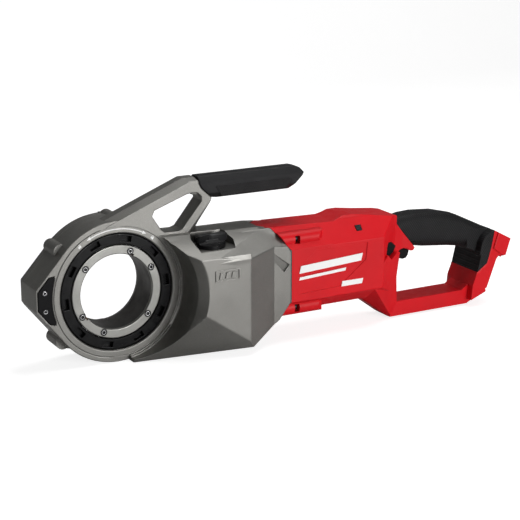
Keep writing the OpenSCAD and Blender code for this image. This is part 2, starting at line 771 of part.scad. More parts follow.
// wire way through the handle into the foot
module wire_way() {
  yprism(-9, 9) polygon([[390, 18], [430, 18], [500, 14], [534, 0], [545, -16], [545, -42],
    [556, -42], [556, -32], [552, -12], [544, 4], [508, 27], [474, 34], [430, 36], [390, 34]]);
}
module handle_rooms() {
  wire_way();
  // terminal block seat in the foot's rear face
  yprism(-20, 20) polygon([[554.5, -62], [590, -62], [592, -28], [554.5, -28]]);
  // battery rail grooves along the rear face
  for (s = [-1, 1]) translate([0, s * (foot_w - 3), 0]) yprism(-4, 4)
    polygon([[548, -66], [552, -80], [574, -27], [570, -20], [565, -26]]);
}
module housing_cuts() {
  for (p = flange_screw_at) {
    xcyl(2.8, 190, 240, p[0], p[1]);
    xcyl(5.2, 234, 240, p[0], p[1]);
    // opening that lets the screw head in from the side
    translate([233, p[0] > 0 ? p[0] : -60, p[1] - 5.2]) cube([7, 60 - abs(p[0]), 10.4]);
  }
  trigger_room();
  ycyl(2, -12, 12, trigger_pivot[0], trigger_pivot[1]);
  ywindow();
  // shallow recessed panel on each side
  for (s = [-1, 1]) translate([0, s * house_w, 0]) yprism(-1.2, 1.2)
    polygon([[236, 11], [262, 31], [340, 31], [338, 8], [298, -23], [236, -26]]);
  // indicator lens seat
  translate([333, -31.5, 47]) rotate([-43, 0, 0]) cube([9, 7, 9], center = true);
  // clamshell screws
  for (p = shell_screw_at) {
    ycyl(2, -10, 60, p[0], p[1]);
    ycyl(4.2, 12, 60, p[0], p[1]);
  }
}
// room for the trigger and the switch module above it
module trigger_room() {
  translate([404, -7.4, -25]) cube([36, 14.8, 55]);
  translate([411.8, -8.6, 22.8]) cube([44.4, 17.2, 12.4]);
}
shell_screw_at = [[404, -75], [533, -72], [566, 2], [396, 42]];
module ywindow() {
  yprism(-60, 60) polygon([[379, 22.6], [389, 21.2], [395, 15.6], [391.2, 8], [382, 0], [373.6, 7.5],
    [376.6, 17.8]]);
}
module housing_half(side) {
  color("#c8141e") intersection() {
    difference() {
      union() {
        difference() {
          red_outer();
          grip_space();
        }
        grip_core();
      }
      house_hollow();
      housing_cuts();
    }
    translate([150, side > 0 ? 0 : -100, -120]) cube([500, 100, 240]);
  }
}
module housing_left() { housing_half(-1); }
module housing_right() { housing_half(1); }
module housing_screws() {
  color("#202020") for (p = shell_screw_at)
    translate([p[0], 12, p[1]]) rotate([-90, 0, 0]) socket_screw(1.9, 20, 3.9, 3);
}
module flange_screws() {
  color("#202020") for (p = flange_screw_at)
    translate([234.2, p[0], p[1]]) rotate([0, 90, 0]) socket_screw(2.5, 40, 4.6, 4.5);
}
module flange_gasket() {
  color("#2d6e6a") intersection() {
    difference() {
      in_front_of_flange(gasket_t);
      in_front_of_flange(0);
      for (p = flange_screw_at) xcyl(2.8, 190, 240, p[0], p[1]);
    }
    xprism(200, 230) difference() {
      house_section(0.5);
      house_section(5);
    }
    zprism(-57, 61) square([500, 200], center = true);
  }
}
// --- grips ---------------------------------------------------------------
// rubber over the upper bar of the D handle and the top of its rear leg
grip_w = 19.5;
module grip_space() {
  yprism(-60, 60) grip_area();
}
module grip_area() {
  polygon([[402, 60], [402, 43], [428, 12.4], [433.3, 5.2], [446, -20], [500, -42],
    [531, -42], [549, -29.5], [555.5, -7], [560, 17], [560, 60]]);
}
module grip_core() {
  yprism(-11, 11) polygon([[390, 42], [420, 45], [440, 46], [474, 43], [504, 35], [538, 21],
    [557, 10], [550, -36], [536, -39], [541, -16], [530, -4], [498, 6], [452, 9], [436, 13],
    [427, 18], [396, 22]]);
}
// convex outline of the hand grip's tube, drawn in by d
module tube_area(d) {
  polygon([[396 + d, 46 - d], [420 + d / 2, 51 - d], [440, 52 - d], [474, 49.5 - d], [508, 41 - d],
    [558, 17.5 - d], [560, -10 + d], [452, 3 + d], [425, 8 + d], [402 + d, 20 + d]]);
}
// tube of the hand grip with rounded corners
module grip_tube() {
  hull() {
    yprism(-9, 9) tube_area(0);
    yprism(-14, 14) tube_area(2);
    yprism(-18, 18) tube_area(7);
    yprism(-grip_w, grip_w) tube_area(15);
  }
}
module rear_grip() {
  color("#1e1e20") difference() {
    intersection() {
      yprism(-60, 60) grip_area();
      union() {
        grip_tube();
        yprism(-grip_w, grip_w) polygon([[524, -45], [520, 20], [560, 17], [552, -45]]);
        yprism(-foot_w, foot_w) foot_side();
      }
    }
    d_opening_cut();
    grip_core();
    trigger_room();
    wire_way();
  }
}
module handle_grip() {
  color("#1e1e20") difference() {
    intersection() {
      yprism(grip_mid - grip_half, grip_mid + grip_half) translate([0, grip_z])
        polygon([[113.5, 13.5], [114, 5], [117, -1], [132, -15], [141, -16.5], [246, -16.5],
          [262.5, 0], [265, 5], [261, 11], [252, 13.5]]);
      // long edges and the tip drawn in
      xprism(100, 280) translate([grip_mid, grip_z]) polygon([[-15, 5], [-8, 13.5], [8, 13.5],
        [15, 5], [15, -9], [8, -16.5], [-8, -16.5], [-15, -9]]);
      zprism(100, 140) polygon([[100, -30], [238, -30], [270, grip_mid - 10], [270, grip_mid + 10],
        [238, 48], [100, 48]]);
    }
    bracket_tang();
    bracket();
  }
}
// --- small parts on the gear case ------------------------------------------
module nose_plate_outline(grow = 0) {
  difference() {
    offset(delta = grow) polygon([[-105, 14], [-90, 31], [-83, 31], [-82, 24], [-82, -23],
      [-83, -30], [-90, -29], [-105, -10]]);
    circle(r = 86.8 - grow, $fn = 180);
  }
}
module nose_plate() {
  color("#161616") difference() {
    yprism(-4.4, -1) nose_plate_outline();
    for (z = [12.5, -11]) {
      ycyl(2, -6, 1, -96, z);
      ycyl(3.7, -6, -2.6, -96, z);
    }
  }
}
module nose_plate_screws() {
  color("black") for (z = [12.5, -11])
    translate([-96, -2.6, z]) rotate([90, 0, 0]) socket_screw(1.85, 12, 3.5, 2.2);
}
module badge_plate() {
  color("gray") yprism(-bulge_y - 0.9, -bulge_y) difference() {
    translate([105, 14]) square([34, 14]);
    translate([106.4, 15.4]) square([31.2, 11.2]);
  }
}
knob_top = 60;
module selector_knob() {
  color("#121212") translate([knob_at[0], knob_at[1], 0]) difference() {
    union() {
      zcyl(knob_r, knob_floor + 0.3, 55);
      translate([-knob_r + 1, -4.5, 54]) cube([2 * knob_r - 2, 9, knob_top - 54]);
    }
    zcyl(4, 40, 52);
  }
}
module selector_shaft() {
  color("silver") translate([knob_at[0], knob_at[1], 0]) {
    zcyl(4, 36, 52);
    difference() {
      zcyl(9, 33, 36.8);
      translate([5, -10, 32]) cube([10, 20, 6]);
    }
  }
}
// --- trigger group ---------------------------------------------------------
trigger_pivot = [409, 11];
module trigger() {
  color("#1a1a1a") difference() {
    yprism(-6.8, 6.8) polygon([[405, 15], [405, -5.5], [409, -8], [413, -8.2], [418, -11.2],
      [423, -12.6], [428, -11.8], [431.2, -8], [432.7, -2], [432.4, 4], [434, 8], [434, 14],
      [420, 14], [412, 17]]);
    ycyl(2 + run_gap, -10, 10, trigger_pivot[0], trigger_pivot[1]);
  }
}
module trigger_pin() {
  color("silver") ycyl(2, -12, 12, trigger_pivot[0], trigger_pivot[1]);
}
spring_turns = 5;
module trigger_spring() {
  color("silver") translate([426, 0, 14.6]) for (i = [0 : spring_turns - 1])
    translate([0, 0, i * 1.6 + 0.5]) rotate_extrude($fn = 48) translate([3, 0]) circle(r = 0.45, $fn = 16);
}
module switch_module() {
  color("#26262a") {
    translate([412, -8.5, 23]) cube([44, 17, 12]);
  }
}
module direction_button() {
  color("#151515") yprism(-31, 31) polygon([[379.3, 22.1], [388.7, 20.8], [394.4, 15.5],
    [390.8, 8.3], [382, 0.6], [374.1, 7.7], [377.1, 17.6]]);
}
module indicator_lens() {
  color("#101418") translate([333, -31.5, 47]) rotate([-43, 0, 0]) cube([8, 6, 8], center = true);
}
module control_board() {
  color("darkgreen") {
    translate([320, -26, -30]) cube([46, 52, 1.6]);
    for (i = [0 : 2]) translate([326 + i * 12, -18, -28.4]) cube([8, 36, 9]);
  }
}
module lead_wires() {
  color("#a01818") for (s = [-1, 1]) {
    translate([0, s * 4, 0]) yprism(-1.4, 1.4) polygon([[456.4, 24], [500, 18], [535, 3],
      [547, -15], [547, -38], [554.5, -38], [554.5, -35], [550, -35], [550, -13], [538, 6],
      [502, 21], [456.4, 27]]);
  }
}
module terminal_block() {
  color("#1c1c1e") difference() {
    yprism(-19.8, 19.8) polygon([[554.7, -61.8], [559, -61.8], [568, -34], [568.5, -28.2],
      [554.7, -28.2]]);
    for (y = [-12, -4, 4, 12]) translate([557.5, y - 1.2, -64]) cube([30, 2.4, 40]);
  }
}
module terminal_blades() {
  color("#c9a24a") for (y = [-12, -4, 4, 12])
    translate([0, y, 0]) yprism(-0.5, 0.5) polygon([[557.5, -60], [559, -60], [567, -34], [557.5, -34]]);
}

gearcase_front();
gearcase_rear_cover();
rear_cover_screws();
bezel_ring();
lock_ring();
lock_detent_plunger();
drive_drum();
drive_plate();
drive_plate_screws();
drive_keys();
drum_bearing_front();
drum_bearing_rear();
idler_gear();
idler_pin();
pinion_shaft();
bevel_wheel();
pinion_bearing_front();
pinion_bearing_rear();
bevel_pinion();
bevel_pinion_bearing();
planet_carrier();
planet_pins();
planet_a();
planet_b();
planet_c_gear();  // planet_c
ring_gear();
motor_plate();
motor_shaft();
rotor_core();
rotor_magnets();
stator_core();
stator_windings();
motor_fan();
motor_bearing_front();
motor_bearing_rear();
sensor_board();
flange_gasket();
housing_left();
housing_right();
housing_screws();
flange_screws();
handle_grip();
nose_plate();
nose_plate_screws();
badge_plate();
selector_knob();
selector_shaft();
rear_grip();
trigger();
trigger_pin();
trigger_spring();
switch_module();
direction_button();
indicator_lens();
control_board();
lead_wires();
terminal_block();
terminal_blades();
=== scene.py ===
"""Looks of the handheld pipe threading machine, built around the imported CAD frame."""
import json
import math

import bmesh
import bpy
import numpy as np
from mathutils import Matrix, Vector


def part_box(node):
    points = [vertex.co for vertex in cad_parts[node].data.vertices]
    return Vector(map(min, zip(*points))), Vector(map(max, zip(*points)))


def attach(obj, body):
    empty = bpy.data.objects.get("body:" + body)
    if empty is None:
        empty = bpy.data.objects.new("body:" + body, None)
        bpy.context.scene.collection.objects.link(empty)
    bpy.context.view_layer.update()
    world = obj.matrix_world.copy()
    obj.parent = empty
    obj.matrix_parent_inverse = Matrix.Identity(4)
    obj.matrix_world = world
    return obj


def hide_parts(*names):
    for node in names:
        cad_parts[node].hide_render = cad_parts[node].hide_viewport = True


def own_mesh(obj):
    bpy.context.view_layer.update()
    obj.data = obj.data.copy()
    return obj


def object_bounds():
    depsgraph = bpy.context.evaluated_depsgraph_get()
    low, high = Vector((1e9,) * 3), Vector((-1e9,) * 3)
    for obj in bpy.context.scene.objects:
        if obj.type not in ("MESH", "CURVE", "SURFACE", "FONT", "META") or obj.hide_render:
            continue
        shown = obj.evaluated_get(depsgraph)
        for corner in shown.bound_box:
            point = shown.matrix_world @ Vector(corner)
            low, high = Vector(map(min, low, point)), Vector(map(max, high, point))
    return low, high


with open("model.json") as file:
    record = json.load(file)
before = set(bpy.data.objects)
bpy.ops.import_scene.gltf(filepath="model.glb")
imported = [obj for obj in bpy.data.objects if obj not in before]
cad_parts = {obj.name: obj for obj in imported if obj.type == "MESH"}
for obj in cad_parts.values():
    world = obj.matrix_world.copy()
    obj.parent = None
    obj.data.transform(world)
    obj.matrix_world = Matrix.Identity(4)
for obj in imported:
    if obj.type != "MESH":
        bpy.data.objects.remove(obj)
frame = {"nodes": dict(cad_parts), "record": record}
NODES = frame["nodes"]
RECORD = frame["record"]
CAD_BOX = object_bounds()
MM = 0.001


# --- material building blocks ----------------------------------------------
class Shader:
    """A small helper around one node tree with a Principled surface."""

    def __init__(self, name):
        self.material = bpy.data.materials.new(name)
        self.material.use_nodes = True
        self.tree = self.material.node_tree
        self.surface = self.tree.nodes["Principled BSDF"]
        self.coords = self.tree.nodes.new("ShaderNodeTexCoord").outputs["Object"]
        self.height = None

    def node(self, kind, **values):
        made = self.tree.nodes.new(kind)
        for key, value in values.items():
            setattr(made, key, value)
        return made

    def link(self, a, b):
        self.tree.links.new(a, b)

    def set(self, **values):
        for key, value in values.items():
            self.surface.inputs[key.replace("_", " ")].default_value = value

    def noise(self, scale, detail=3.0, rough=0.55, stretch=None):
        texture = self.node("ShaderNodeTexNoise")
        texture.inputs["Scale"].default_value = scale
        texture.inputs["Detail"].default_value = detail
        texture.inputs["Roughness"].default_value = rough
        place = self.coords
        if stretch:
            mapping = self.node("ShaderNodeMapping")
            mapping.inputs["Scale"].default_value = stretch
            self.link(self.coords, mapping.inputs["Vector"])
            place = mapping.outputs["Vector"]
        self.link(place, texture.inputs["Vector"])
        return texture.outputs["Fac"]

    def cells(self, scale):
        texture = self.node("ShaderNodeTexVoronoi")
        texture.inputs["Scale"].default_value = scale
        self.link(self.coords, texture.inputs["Vector"])
        return texture.outputs["Distance"]

    def bands(self, period, degrees):
        """Straight bands across x and z, tilted by an angle, one per period in mm."""
        turn = self.node("ShaderNodeMapping")
        turn.inputs["Rotation"].default_value = (0, math.radians(degrees), 0)
        self.link(self.coords, turn.inputs["Vector"])
        wave = self.node("ShaderNodeTexWave", bands_direction="X")
        wave.inputs["Scale"].default_value = math.pi / (10 * period * MM)
        self.link(turn.outputs["Vector"], wave.inputs["Vector"])
        return wave.outputs["Fac"]

    def remap(self, value, low, high, to_low, to_high):
        made = self.node("ShaderNodeMapRange")
        for key, number in zip(("From Min", "From Max", "To Min", "To Max"), (low, high, to_low, to_high)):
            made.inputs[key].default_value = number
        self.link(value, made.inputs["Value"])
        return made.outputs["Result"]

    def mix(self, factor, a, b):
        """Colour mix; a and b are colours or sockets."""
        made = self.node("ShaderNodeMix", data_type="RGBA")
        factor_in, a_in, b_in, colour_out = made.inputs[0], made.inputs[6], made.inputs[7], made.outputs[2]
        self.link(factor, factor_in)
        for value, socket in ((a, a_in), (b, b_in)):
            if hasattr(value, "links"):
                self.link(value, socket)
            else:
                socket.default_value = (*value[:3], 1)
        return colour_out

    def compute(self, operation, a, b):
        """Sum or product of two values, each a number or a socket."""
        made = self.node("ShaderNodeMath", operation=operation)
        for slot, value in ((0, a), (1, b)):
            if hasattr(value, "links"):
                self.link(value, made.inputs[slot])
            else:
                made.inputs[slot].default_value = value
        return made.outputs[0]

    def bump(self, height, distance, strength=1.0):
        made = self.node("ShaderNodeBump")
        made.inputs["Strength"].default_value = strength
        made.inputs["Distance"].default_value = distance
        self.link(height, made.inputs["Height"])
        if self.height is not None:
            self.link(self.height, made.inputs["Normal"])
        self.height = made.outputs["Normal"]
        self.link(self.height, self.surface.inputs["Normal"])

    def soft_edges(self, radius):
        """Rounds shading over edges too small to model."""
        made = self.node("ShaderNodeBevel", samples=4)
        made.inputs["Radius"].default_value = radius
        self.height = made.outputs["Normal"]
        self.link(self.height, self.surface.inputs["Normal"])

    def edge_wear_and_highlight(self, radius, low, high):
        """1 on sharp edges and 0 on flats."""
        bevel = self.node("ShaderNodeBevel", samples=4)
        bevel.inputs["Radius"].default_value = radius
        geometry = self.node("ShaderNodeNewGeometry")
        dot = self.node("ShaderNodeVectorMath", operation="DOT_PRODUCT")
        self.link(bevel.outputs["Normal"], dot.inputs[0])
        self.link(geometry.outputs["True Normal"], dot.inputs[1])
        off = self.compute("SUBTRACT", 1.0, dot.outputs["Value"])
        return self.remap(off, low, high, 0.0, 1.0)

    def glow_to_camera(self, strength):
        """Brightens a backdrop for the camera only, so that it stays white without lighting the object."""
        seen = self.node("ShaderNodeLightPath").outputs["Is Camera Ray"]
        self.set(Emission_Color=(1, 1, 1, 1))
        self.link(self.compute("MULTIPLY", seen, strength), self.surface.inputs["Emission Strength"])

    def colour(self, socket):
        self.link(socket, self.surface.inputs["Base Color"])

    def roughness(self, socket):
        self.link(socket, self.surface.inputs["Roughness"])


def cast_paint(name, base, light):
    """Semi-metallic powder coat on a die casting, with edges painted lighter: partly paint worn through,
    partly a painted highlight where light catches the rounded edges.
    """
    s = Shader(name)
    s.set(Metallic=0.85, IOR=1.5)
    s.soft_edges(0.7 * MM)
    broad = s.noise(14.0, 3.0)
    grain = s.noise(2600.0, 2.0)
    tone = s.mix(s.remap(broad, 0.35, 0.65, 0.0, 1.0), [c * 0.93 for c in base], [c * 1.06 for c in base])
    tone = s.mix(s.remap(grain, 0.5, 0.75, 0.0, 0.35), tone, light)
    patchy = s.remap(s.noise(160.0, 4.0), 0.35, 0.7, 0.35, 1.0)
    # Lighter edges: partly wear, partly a painted highlight standing in for light caught on the rounded
    # edges.
    wear_and_highlight = s.compute("MULTIPLY", s.edge_wear_and_highlight(1.3 * MM, 0.03, 0.25), patchy)
    s.colour(s.mix(s.compute("MULTIPLY", wear_and_highlight, 0.8), tone, light))
    s.roughness(s.remap(s.noise(70.0, 5.0), 0.3, 0.7, 0.38, 0.5))
    s.bump(grain, 0.05 * MM, 0.5)
    s.bump(s.noise(420.0, 2.0), 0.06 * MM, 0.35)
    return s.material


def moulded(name, base, rough, grain_scale=1900.0, grain=0.05, worn=None, coat=0.0, shine=0.5):
    """Glass-filled moulded plastic with a fine spark-eroded grain."""
    s = Shader(name)
    s.set(IOR=1.5, Coat_Weight=coat, Coat_Roughness=0.2, Specular_IOR_Level=shine)
    s.soft_edges(0.5 * MM)
    broad = s.noise(22.0, 4.0)
    tone = s.mix(s.remap(broad, 0.3, 0.7, 0.0, 1.0), [c * 0.93 for c in base], [c * 1.05 for c in base])
    if worn is not None:
        patchy = s.remap(s.noise(210.0, 4.0), 0.4, 0.7, 0.0, 0.5)
        wear_and_highlight = s.compute("MULTIPLY", s.edge_wear_and_highlight(0.7 * MM, 0.04, 0.35), patchy)
        tone = s.mix(wear_and_highlight, tone, worn)
    s.colour(tone)
    s.roughness(s.remap(s.noise(90.0, 5.0), 0.3, 0.7, rough - 0.05, rough + 0.07))
    s.bump(s.noise(grain_scale, 2.0), grain * MM, 0.6)
    return s.material


def pebbled_rubber(name, base, hatch=0.0):
    """Overmoulded rubber with a fine pebble texture, and a diagonal hatch pressed in if asked for."""
    s = Shader(name)
    s.set(IOR=1.45, Specular_IOR_Level=0.3)
    s.soft_edges(1.5 * MM)
    pebble_scale, pebble_depth, hatch_depth, hatch_tilt = 900.0, 0.12, 0.5, 35.0
    cells = s.cells(pebble_scale)
    tone = s.mix(s.remap(s.noise(30.0, 4.0), 0.3, 0.7, 0.0, 1.0), base, [c * 1.7 for c in base])
    # Painted shade: the hollows between the pebbles are darkened.
    tone = s.mix(s.remap(cells, 0.2, 0.7, 0.0, 0.5), tone, [c * 0.4 for c in base])
    if hatch:
        lines = s.compute("MULTIPLY", s.bands(hatch, hatch_tilt), s.bands(hatch, -hatch_tilt))
        # Painted shade: the pressed-in hatch grooves are darkened.
        tone = s.mix(s.remap(lines, 0.1, 0.5, 0.7, 0.0), tone, [c * 0.25 for c in base])
        s.bump(lines, hatch_depth * MM, 0.7)
    s.colour(tone)
    s.roughness(s.remap(s.noise(60.0, 4.0), 0.3, 0.7, 0.48, 0.62))
    s.bump(s.compute("SUBTRACT", 1.0, cells), pebble_depth * MM, 0.8)
    return s.material


def turned_metal(name, base, rough, axis="Y", spots=0.15):
    """Lathe-turned metal: rings about an axis through the origin."""
    s = Shader(name)
    s.set(Metallic=1.0)
    s.soft_edges(0.35 * MM)
    ring_scale, ring_depth, scratch_depth = 2500.0, 0.02, 0.015
    wave = s.node("ShaderNodeTexWave", wave_type="RINGS", rings_direction=axis)
    wave.inputs["Scale"].default_value = ring_scale
    wave.inputs["Distortion"].default_value = 0.6
    wave.inputs["Detail"].default_value = 2.0
    s.link(s.coords, wave.inputs["Vector"])
    patches = s.noise(45.0, 5.0)
    tone = s.mix(s.remap(patches, 0.35, 0.7, 0.0, 1.0), base, [c * (1 - spots) for c in base])
    s.colour(s.mix(s.remap(wave.outputs["Fac"], 0.0, 1.0, 0.0, 0.25), tone, [c * 0.75 for c in base]))
    s.roughness(s.remap(patches, 0.3, 0.7, rough - 0.06, rough + 0.1))
    s.bump(wave.outputs["Fac"], ring_depth * MM, 0.5)
    s.bump(s.noise(700.0, 3.0), scratch_depth * MM, 0.5)
    return s.material


def plain_metal(name, base, rough, metallic=1.0):
    """Ground or black-oxide metal with fine scratches."""
    s = Shader(name)
    s.set(Metallic=metallic)
    s.soft_edges(0.2 * MM)
    scratches = s.noise(260.0, 6.0, 0.7, (1.0, 9.0, 1.0))
    s.colour(s.mix(s.remap(scratches, 0.35, 0.7, 0.0, 1.0), base, [min(1.0, c * 1.5 + 0.01) for c in base]))
    s.roughness(s.remap(scratches, 0.3, 0.7, rough - 0.08, rough + 0.12))
    s.bump(scratches, 0.015 * MM, 0.5)
    return s.material


def ink(name, base):
    """Printed marking ink."""
    s = Shader(name)
    s.set(IOR=1.45)
    s.colour(s.mix(s.remap(s.noise(500.0, 4.0), 0.55, 0.8, 0.0, 0.35), base, [c * 0.75 for c in base]))
    s.roughness(s.remap(s.noise(150.0), 0.3, 0.7, 0.42, 0.58))
    s.bump(s.noise(1800.0, 2.0), 0.02 * MM, 0.5)
    return s.material


MATERIALS = {
    "case_grey": cast_paint("case_grey", (0.222, 0.218, 0.204), (0.5, 0.49, 0.47)),
    "bright_steel": turned_metal("bright_steel", (0.33, 0.328, 0.31), 0.42),
    "gear_steel": turned_metal("gear_steel", (0.36, 0.36, 0.37), 0.33),
    "dark_steel": turned_metal("dark_steel", (0.12, 0.115, 0.11), 0.42, spots=0.3),
    "screw_black": plain_metal("screw_black", (0.022, 0.022, 0.023), 0.3, 0.8),
    "bearing_steel": plain_metal("bearing_steel", (0.7, 0.7, 0.72), 0.2),
    "black_gloss": moulded("black_gloss", (0.004, 0.004, 0.0045), 0.3, 900.0, 0.02, coat=0.05, shine=0.2),
    "black_plastic": moulded("black_plastic", (0.006, 0.006, 0.0065), 0.42,
                             worn=(0.04, 0.04, 0.04), shine=0.1),
    "grip_rubber": pebbled_rubber("grip_rubber", (0.0085, 0.0085, 0.0095)),
    "hatched_rubber": pebbled_rubber("hatched_rubber", (0.0085, 0.0085, 0.0095), hatch=2.6),
    "housing_red": moulded("housing_red", (0.64, 0.003, 0.009), 0.42, worn=(0.7, 0.06, 0.06), shine=0.25),
    "key_brass": plain_metal("key_brass", (0.3, 0.19, 0.11), 0.4),
    "copper": plain_metal("copper", (0.62, 0.25, 0.1), 0.3),
    "lamination": plain_metal("lamination", (0.4, 0.4, 0.42), 0.4),
    "magnet": plain_metal("magnet", (0.12, 0.12, 0.13), 0.45, 0.6),
    "board_green": moulded("board_green", (0.015, 0.12, 0.05), 0.35),
    "seal_teal": moulded("seal_teal", (0.03, 0.2, 0.19), 0.5),
    "lens_dark": moulded("lens_dark", (0.012, 0.016, 0.018), 0.12, 600.0, 0.01, coat=1.0),
    "wire_red": moulded("wire_red", (0.45, 0.012, 0.012), 0.4),
    "contact_brass": plain_metal("contact_brass", (0.75, 0.55, 0.25), 0.28),
    "alu_plate": turned_metal("alu_plate", (0.6, 0.6, 0.61), 0.35, axis="X"),
    "white_ink": ink("white_ink", (0.93, 0.93, 0.92)),
}
SLOT_OF = {part["node"]: part["material_slot"] for part in RECORD["subparts"]}
BODY_OF = {node: body for body, nodes in RECORD["behaviour"]["bodies"].items() for node in nodes}


def assign(obj, look):
    obj.data.materials.clear()
    obj.data.materials.append(MATERIALS[look])


for node_name, node_object in NODES.items():
    assign(node_object, SLOT_OF[node_name])


def node_box(node):
    """Lowest and highest corner of a CAD node, in millimetres."""
    low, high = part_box(node)
    return Vector(low) / MM, Vector(high) / MM


# --- pieces ---------------------------------------------------------------------
SEAL_THICKNESS = 0.8
TONGUE_HALF_WIDTH = 24.0
TONGUE_FLOOR = 51.0
TONGUE_ROOM = 2.0
FLANGE_X = node_box("flange_gasket")[1].x - SEAL_THICKNESS
TONGUE_X = node_box("housing_left")[0].x
CASTING_SEAM = (1, node_box("gearcase_rear_cover")[0].y)
CLAMSHELL_SEAM = (1, 0.0)
ON_PLANE = 0.05
SAME_POINT = 0.002 * MM
FLAT_ANGLE = math.radians(0.4)
MOSTLY_X = 0.9
CUT_SNAP = 1e-7
SMALL = 0.01


def add_piece(name, made, look, body, smooth_deg=32.0):
    """Turns a bmesh in metres into a visible piece with a material that rides on a CAD body."""
    made.normal_update()
    mesh = bpy.data.meshes.new(name)
    made.to_mesh(mesh)
    made.free()
    piece = bpy.data.objects.new(name, mesh)
    bpy.context.scene.collection.objects.link(piece)
    mesh.shade_smooth()
    mesh.set_sharp_from_angle(angle=math.radians(smooth_deg))
    weighted = piece.modifiers.new("flat_faces", "WEIGHTED_NORMAL")
    weighted.keep_sharp = True
    mesh.materials.append(MATERIALS[look])
    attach(piece, body)
    return piece


def on_plane(edge, planes):
    """True if an edge lies in one of the seam planes, each an axis number and a place in mm."""
    return any(all(abs(v.co[axis] / MM - place) < ON_PLANE for v in edge.verts) for axis, place in planes)


def at_tongue(edge):
    """True if an edge belongs to the joint where the housing's tongue lies in the case's notch."""
    return all(TONGUE_X - TONGUE_ROOM < v.co.x / MM < FLANGE_X and abs(v.co.y / MM) < TONGUE_HALF_WIDTH
               and v.co.z / MM > TONGUE_FLOOR for v in edge.verts)


def patches(made, walls):
    """Groups of coplanar faces, never crossing the edges in walls."""
    found, seen = [], set()
    for seed in made.faces:
        if seed in seen:
            continue
        group, queue = [], [seed]
        seen.add(seed)
        while queue:
            face = queue.pop()
            group.append(face)
            for edge in face.edges:
                if edge in walls:
                    continue
                for other in edge.link_faces:
                    if other not in seen and other.normal.angle(seed.normal, 1.0) < FLAT_ANGLE:
                        seen.add(other)
                        queue.append(other)
        found.append(group)
    return found


def outlines(group):
    """Loops of boundary vertices around a group of faces, and whether none of them touches another."""
    inside = set(group)
    rim = [e for f in group for e in f.edges if sum(l in inside for l in e.link_faces) == 1]
    near = {}
    for edge in rim:
        for v in edge.verts:
            near.setdefault(v, []).append(edge.other_vert(v))
    loops, seen = [], set()
    for start in near:
        if start in seen:
            continue
        loop, queue = [], [start]
        seen.add(start)
        while queue:
            v = queue.pop()
            loop.append(v)
            for other in near[v]:
                if other not in seen:
                    seen.add(other)
                    queue.append(other)
        loops.append(loop)
    return loops, all(len(others) == 2 for others in near.values())


def reach_along(loop, along):
    """Lowest and highest place of a loop along a direction."""
    places = [v.co.dot(along) for v in loop]
    return min(places), max(places)


def cut_holes(made):
    """Splits flat faces through their holes, so that every patch can become one plain face."""
    walls = set()
    for group in patches(made, walls):
        loops = outlines(group)[0]
        if len(loops) < 2:
            continue
        along = Vector((0, 1, 0)) if abs(group[0].normal.x) > MOSTLY_X else Vector((1, 0, 0))
        reaches = sorted((reach_along(loop, along) for loop in loops), key=lambda r: r[1] - r[0])
        faces = list(group)
        for low, high in reaches[:-1]:
            edges = {e for f in faces for e in f.edges}
            verts = {v for f in faces for v in f.verts}
            result = bmesh.ops.bisect_plane(made, geom=faces + list(edges) + list(verts), dist=CUT_SNAP,
                                            plane_co=along * ((high + low) / 2), plane_no=along)
            walls.update(g for g in result["geom_cut"] if isinstance(g, bmesh.types.BMEdge))
            faces = [g for g in result["geom"] if isinstance(g, bmesh.types.BMFace)]
    return walls


def merge_flats(made):
    """Joins coplanar triangles into whole faces and returns the faces that had to stay in pieces."""
    walls = cut_holes(made)
    made.normal_update()
    rough = []
    for group in patches(made, {w for w in walls if w.is_valid}):
        loops, simple = outlines(group)
        if len(loops) == 1 and simple:
            if len(group) > 1:
                bmesh.ops.dissolve_faces(made, faces=group)
        else:
            rough.extend(group)
    return {face for face in rough if face.is_valid}


# Room an edge needs to be rounded, in widths of the rounding.
CORNER_ROOM = 1.5
LEAST_LENGTH = 2.2
LEAST_NEIGHBOUR = 1.4
LEAST_FACE_SIDE = 2.0


def roomy(edge, face, width):
    """True if no other corner of the face is close to the edge."""
    start, end = (v.co for v in edge.verts)
    along = end - start
    for v in face.verts:
        if v in edge.verts:
            continue
        share = min(1.0, max(0.0, (v.co - start).dot(along) / along.length_squared))
        if (v.co - start - along * share).length < CORNER_ROOM * width:
            return False
    return True


def can_bevel(edge, width, sharp, planes, rough):
    """True for a sharp convex edge with room around it that lies in no seam."""
    if len(edge.link_faces) != 2 or edge.calc_face_angle_signed(0.0) < sharp:
        return False
    if edge.calc_length() < LEAST_LENGTH * width or on_plane(edge, planes) or at_tongue(edge):
        return False
    least_area = (LEAST_FACE_SIDE * width) ** 2
    if any(face in rough or face.calc_area() < least_area for face in edge.link_faces):
        return False
    if any(near.calc_length() < LEAST_NEIGHBOUR * width for v in edge.verts for near in v.link_edges):
        return False
    return all(roomy(edge, face, width) for face in edge.link_faces)


def softened(node, width, sharp_deg=24.0, planes=(), smooth_deg=14.0):
    """A copy of a CAD node with its convex edges really rounded, shown instead of it."""
    made = bmesh.new()
    made.from_mesh(NODES[node].data)
    bmesh.ops.remove_doubles(made, verts=made.verts, dist=SAME_POINT)
    made.normal_update()
    rough = merge_flats(made)
    made.normal_update()
    edges = [e for e in made.edges if can_bevel(e, width * MM, math.radians(sharp_deg), planes, rough)]
    bmesh.ops.bevel(made, geom=edges, offset=width * MM, segments=2, profile=0.5,
                    affect="EDGES", clamp_overlap=False)
    piece = add_piece(node + "_look", made, SLOT_OF[node], BODY_OF[node], smooth_deg)
    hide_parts(node)
    return piece


